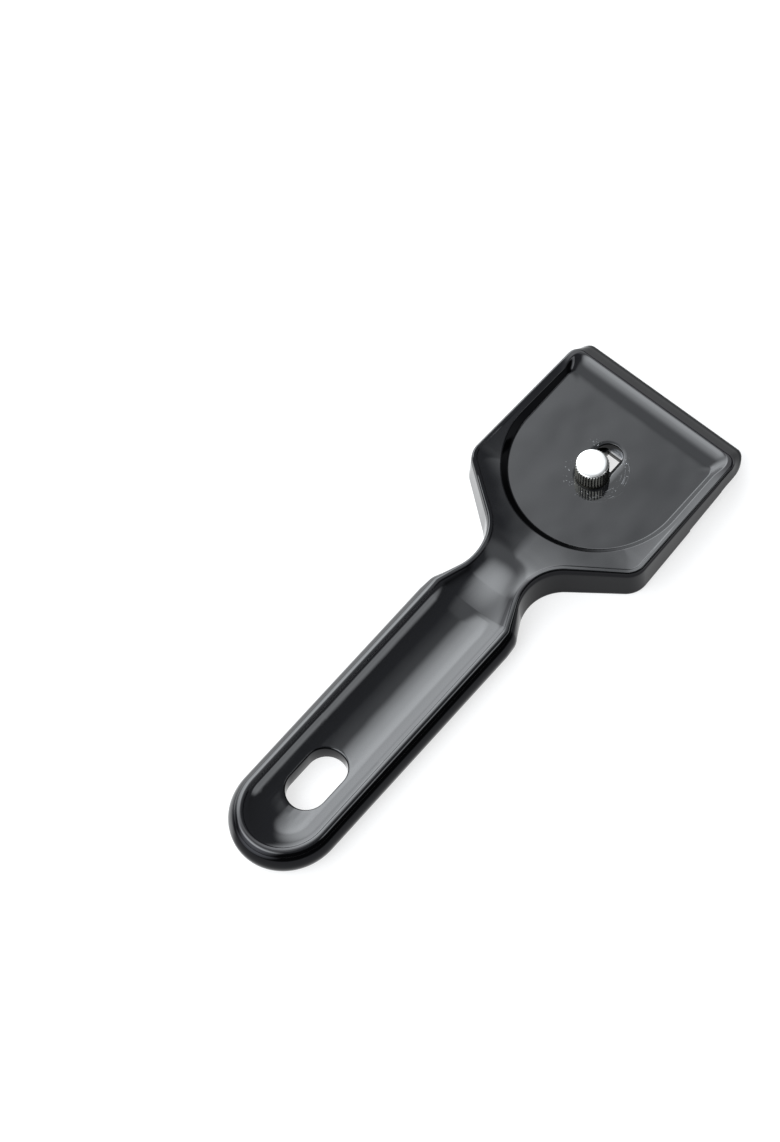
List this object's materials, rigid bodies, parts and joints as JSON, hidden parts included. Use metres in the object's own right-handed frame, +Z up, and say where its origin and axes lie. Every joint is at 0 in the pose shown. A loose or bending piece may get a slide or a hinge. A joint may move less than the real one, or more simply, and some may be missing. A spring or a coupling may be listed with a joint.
{
  "type": "ceramic hob scraper",
  "caption": "Hand scraper for ceramic hobs: moulded handle and flat head, with a clamped blade carriage that slides out under the head.",
  "frame": {"origin": "centre of the bounding box at its bottom, on the surface the scraper lies on", "axes": "+Y from the handle's round end to the front lip, +X to the right seen from above, +Z up through the thumb screw"},
  "size_m": [0.0526, 0.1546, 0.0134],
  "materials": {
    "black_plastic": "high gloss black moulded plastic",
    "black_plate": "black moulded plastic, semi gloss",
    "black_carriage": "black moulded plastic, satin",
    "steel": "zinc plated steel, satin",
    "nickel": "bright nickel plate",
    "blade_steel": "ground carbon steel strip with an oiled face"
  },
  "bodies": {
    "handle": {"body": "black_plastic"},
    "carriage": {"slide_plate": "black_plate", "blade_carriage": "black_carriage", "plate_rivets": "steel", "captive_nut": "steel", "blade": "blade_steel", "blade_spine": "steel"},
    "washer": {"screw_washer": "nickel"},
    "screw": {"thumb_screw": "nickel"}
  },
  "joints": [
    {"name": "carriage_slide", "type": "slide", "parent": "handle", "child": "carriage", "axis": [0, 1, 0], "range_m": [0, 0.0064]},
    {"name": "screw_lift", "type": "slide", "parent": "carriage", "child": "washer", "axis": [0, 0, 1], "range_m": [0, 0.00105]},
    {"name": "screw_turn", "type": "hinge", "parent": "washer", "child": "screw", "pos_m": [0, 0.0489, 0.0077], "axis": [0, 0, 1], "range_deg": [0, 540]}
  ],
  "couplings": [
    {"joint": "screw_turn", "follows": "screw_lift", "rad_per_m": 8976}
  ]
}
